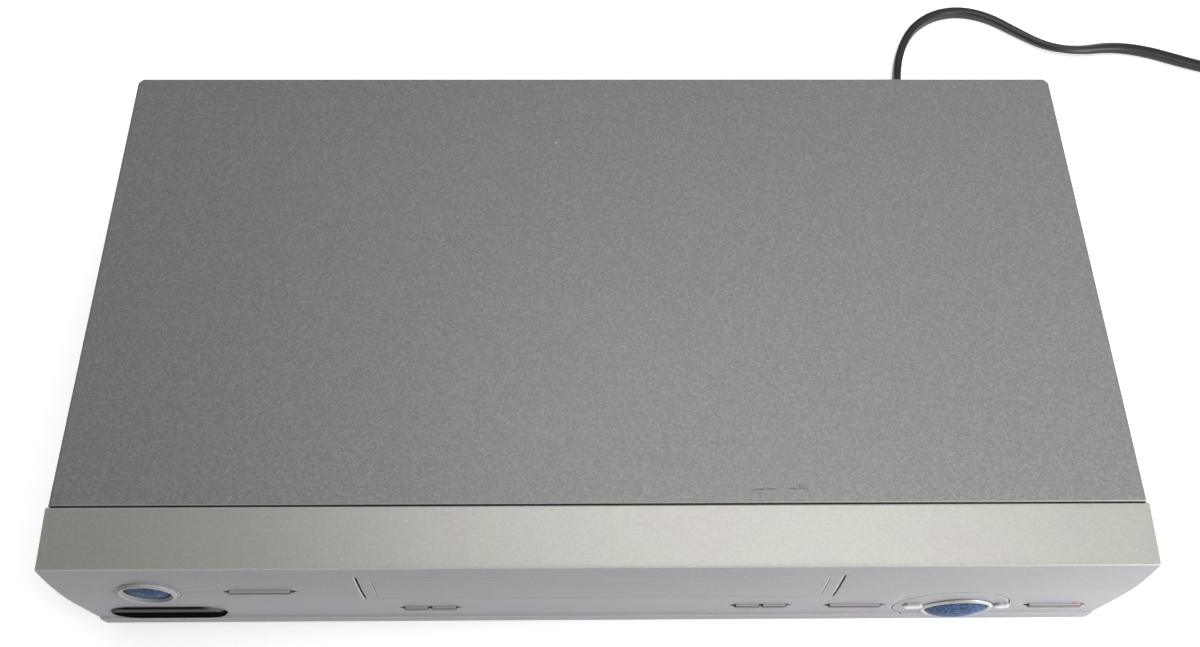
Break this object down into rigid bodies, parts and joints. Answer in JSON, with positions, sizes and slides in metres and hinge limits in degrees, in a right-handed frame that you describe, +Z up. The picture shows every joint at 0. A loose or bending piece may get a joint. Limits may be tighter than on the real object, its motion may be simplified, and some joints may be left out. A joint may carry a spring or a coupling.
{
  "type": "video cassette recorder",
  "caption": "Slim home video cassette recorder with a silver front, spring door, push buttons, tape deck inside and a mains cord.",
  "frame": {"origin": "middle of the body's footprint, on the surface it stands on", "axes": "+Z up, front faces -Y, +X to the right seen from the front"},
  "size_m": [0.6967, 0.3693, 0.094],
  "materials": {
    "silver_plastic": "satin silver paint on a plastic moulding",
    "grey_paint": "fine speckled grey paint",
    "smoked_lens": "smoked, glossy",
    "bright_key": "bright silver paint",
    "blue_key": "tinted, translucent",
    "zinc_steel": "zinc plated sheet",
    "spring_steel": "bright rolled steel",
    "tinned_steel": "tinned",
    "nickel": "nickel plated",
    "plug_brass": "stamped, satin",
    "drum_aluminium": "turned",
    "motor_steel": "plated",
    "board_laminate": "phenolic laminate",
    "dark_plastic": "moulded",
    "white_plastic": "acetal",
    "black_rubber": "moulded",
    "tube_glass": "clear",
    "cord_jacket": "satin flexible jacket"
  },
  "bodies": {
    "housing": {"front_fascia": "silver_plastic", "top_cover": "grey_paint", "display_lens": "smoked_lens", "play_ring": "bright_key", "chassis_pan": "zinc_steel", "rear_panel": "zinc_steel", "deck_plate": "zinc_steel", "carriage_frame": "zinc_steel", "screws": "zinc_steel", "door_spring": "spring_steel", "tuner_can": "tinned_steel", "phono_barrels": "nickel", "plug_blades": "plug_brass", "drum_base": "drum_aluminium", "heat_sink": "drum_aluminium", "loading_motor": "motor_steel", "power_transformer": "motor_steel", "erase_head": "motor_steel", "control_head": "motor_steel", "front_board": "board_laminate", "main_board": "board_laminate", "tact_switches": "dark_plastic", "phono_block": "dark_plastic", "cord_strain_relief": "dark_plastic", "capacitors": "dark_plastic", "guide_stops": "white_plastic", "rubber_feet": "black_rubber", "drive_belt": "black_rubber", "display_tube": "tube_glass", "mains_lead": "cord_jacket", "mains_coil": "cord_jacket", "mains_plug": "cord_jacket"},
    "cassette_door": {"cassette_door": "silver_plastic"},
    "eject_button": {"eject_button": "bright_key"},
    "tracking_down_button": {"tracking_down_button": "bright_key"},
    "tracking_up_button": {"tracking_up_button": "bright_key"},
    "channel_down_button": {"channel_down_button": "bright_key"},
    "channel_up_button": {"channel_up_button": "bright_key"},
    "stop_button": {"stop_button": "bright_key"},
    "record_button": {"record_button": "bright_key"},
    "rewind_button": {"rewind_button": "bright_key"},
    "forward_button": {"forward_button": "bright_key"},
    "power_button": {"power_button": "blue_key"},
    "play_button": {"play_button": "blue_key"},
    "carriage_sliders": {"carriage_sliders": "spring_steel"},
    "cassette_holder": {"cassette_holder": "spring_steel"},
    "head_drum": {"head_drum": "drum_aluminium", "drum_rotor": "motor_steel"},
    "supply_reel": {"supply_reel": "white_plastic"},
    "takeup_reel": {"takeup_reel": "white_plastic"},
    "capstan": {"capstan": "spring_steel"},
    "clutch_pulley": {"clutch_pulley": "white_plastic"},
    "idler_arm": {"idler_arm": "spring_steel"},
    "idler_gear": {"idler_gear": "white_plastic"},
    "pinch_arm": {"pinch_arm": "spring_steel"},
    "pinch_roller": {"pinch_roller": "black_rubber"},
    "supply_guide": {"supply_guide": "white_plastic"},
    "takeup_guide": {"takeup_guide": "white_plastic"},
    "cam_gear": {"cam_gear": "white_plastic"},
    "loading_worm": {"loading_worm": "white_plastic"}
  },
  "joints": [
    {"name": "door_hinge", "type": "hinge", "parent": "housing", "child": "cassette_door", "pos_m": [0, -0.1168, 0.087], "axis": [1, 0, 0], "range_deg": [0, 88], "stiffness_Nm_per_rad": 0.002, "springref_deg": -22.92},
    {"name": "eject_press", "type": "slide", "parent": "housing", "child": "eject_button", "axis": [0, 1, 0], "range_m": [0, 0.001], "stiffness_N_per_m": 900, "springref_m": -0.0004},
    {"name": "tracking_down_press", "type": "slide", "parent": "housing", "child": "tracking_down_button", "axis": [0, 1, 0], "range_m": [0, 0.001], "stiffness_N_per_m": 900, "springref_m": -0.0004},
    {"name": "tracking_up_press", "type": "slide", "parent": "housing", "child": "tracking_up_button", "axis": [0, 1, 0], "range_m": [0, 0.001], "stiffness_N_per_m": 900, "springref_m": -0.0004},
    {"name": "channel_down_press", "type": "slide", "parent": "housing", "child": "channel_down_button", "axis": [0, 1, 0], "range_m": [0, 0.001], "stiffness_N_per_m": 900, "springref_m": -0.0004},
    {"name": "channel_up_press", "type": "slide", "parent": "housing", "child": "channel_up_button", "axis": [0, 1, 0], "range_m": [0, 0.001], "stiffness_N_per_m": 900, "springref_m": -0.0004},
    {"name": "stop_press", "type": "slide", "parent": "housing", "child": "stop_button", "axis": [0, 1, 0], "range_m": [0, 0.001], "stiffness_N_per_m": 900, "springref_m": -0.0004},
    {"name": "record_press", "type": "slide", "parent": "housing", "child": "record_button", "axis": [0, 1, 0], "range_m": [0, 0.001], "stiffness_N_per_m": 900, "springref_m": -0.0004},
    {"name": "rewind_press", "type": "slide", "parent": "housing", "child": "rewind_button", "axis": [0, 1, 0], "range_m": [0, 0.001], "stiffness_N_per_m": 900, "springref_m": -0.0004},
    {"name": "forward_press", "type": "slide", "parent": "housing", "child": "forward_button", "axis": [0, 1, 0], "range_m": [0, 0.001], "stiffness_N_per_m": 900, "springref_m": -0.0004},
    {"name": "power_press", "type": "slide", "parent": "housing", "child": "power_button", "axis": [0, 1, 0], "range_m": [0, 0.001], "stiffness_N_per_m": 900, "springref_m": -0.0004},
    {"name": "play_press", "type": "slide", "parent": "housing", "child": "play_button", "axis": [0, 1, 0], "range_m": [0, 0.001], "stiffness_N_per_m": 900, "springref_m": -0.0004},
    {"name": "carriage_travel", "type": "slide", "parent": "housing", "child": "carriage_sliders", "axis": [0, 1, 0], "range_m": [0, 0.064]},
    {"name": "holder_drop", "type": "slide", "parent": "carriage_sliders", "child": "cassette_holder", "axis": [0, 0, -1], "range_m": [0, 0.02]},
    {"name": "drum_spin", "type": "hinge", "parent": "housing", "child": "head_drum", "pos_m": [0, 0.072, 0.032], "axis": [-0.104, 0, 0.9946], "continuous": true},
    {"name": "supply_reel_spin", "type": "hinge", "parent": "housing", "child": "supply_reel", "pos_m": [-0.046, -0.034, 0.03], "axis": [0, 0, 1], "continuous": true},
    {"name": "takeup_reel_spin", "type": "hinge", "parent": "housing", "child": "takeup_reel", "pos_m": [0.046, -0.034, 0.03], "axis": [0, 0, 1], "continuous": true},
    {"name": "capstan_spin", "type": "hinge", "parent": "housing", "child": "capstan", "pos_m": [0.072, 0.058, 0.03], "axis": [0, 0, 1], "continuous": true},
    {"name": "clutch_spin", "type": "hinge", "parent": "housing", "child": "clutch_pulley", "pos_m": [0, -0.008, 0.03], "axis": [0, 0, 1], "continuous": true},
    {"name": "idler_swing", "type": "hinge", "parent": "housing", "child": "idler_arm", "pos_m": [0, -0.008, 0.033], "axis": [0, 0, 1], "range_deg": [-28.5, 28.5]},
    {"name": "idler_spin", "type": "hinge", "parent": "idler_arm", "child": "idler_gear", "pos_m": [0, -0.0332, 0.03], "axis": [0, 0, 1], "continuous": true},
    {"name": "pinch_swing", "type": "hinge", "parent": "housing", "child": "pinch_arm", "pos_m": [0.092, 0.062, 0.045], "axis": [0, 0, -1], "range_deg": [0, 23]},
    {"name": "pinch_spin", "type": "hinge", "parent": "pinch_arm", "child": "pinch_roller", "pos_m": [0.0835, 0.0475, 0.045], "axis": [0, 0, 1], "continuous": true},
    {"name": "supply_guide_slide", "type": "slide", "parent": "housing", "child": "supply_guide", "axis": [-0.1351, 0.9908, 0], "range_m": [0, 0.0665]},
    {"name": "takeup_guide_slide", "type": "slide", "parent": "housing", "child": "takeup_guide", "axis": [0.1351, 0.9908, 0], "range_m": [0, 0.0665]},
    {"name": "cam_turn", "type": "hinge", "parent": "housing", "child": "cam_gear", "pos_m": [-0.064, 0.084, 0.03], "axis": [0, 0, 1], "range_deg": [0, 200]},
    {"name": "worm_spin", "type": "hinge", "parent": "housing", "child": "loading_worm", "pos_m": [-0.064, 0.098, 0.04], "axis": [1, 0, 0], "continuous": true}
  ],
  "couplings": [
    {"joint": "clutch_spin", "follows": "capstan_spin", "ratio": 0.53},
    {"joint": "idler_spin", "follows": "capstan_spin", "ratio": -0.48182},
    {"joint": "takeup_guide_slide", "follows": "supply_guide_slide", "ratio": 1},
    {"joint": "cam_turn", "follows": "supply_guide_slide", "rad_per_m": 52},
    {"joint": "worm_spin", "follows": "supply_guide_slide", "rad_per_m": 1040}
  ]
}
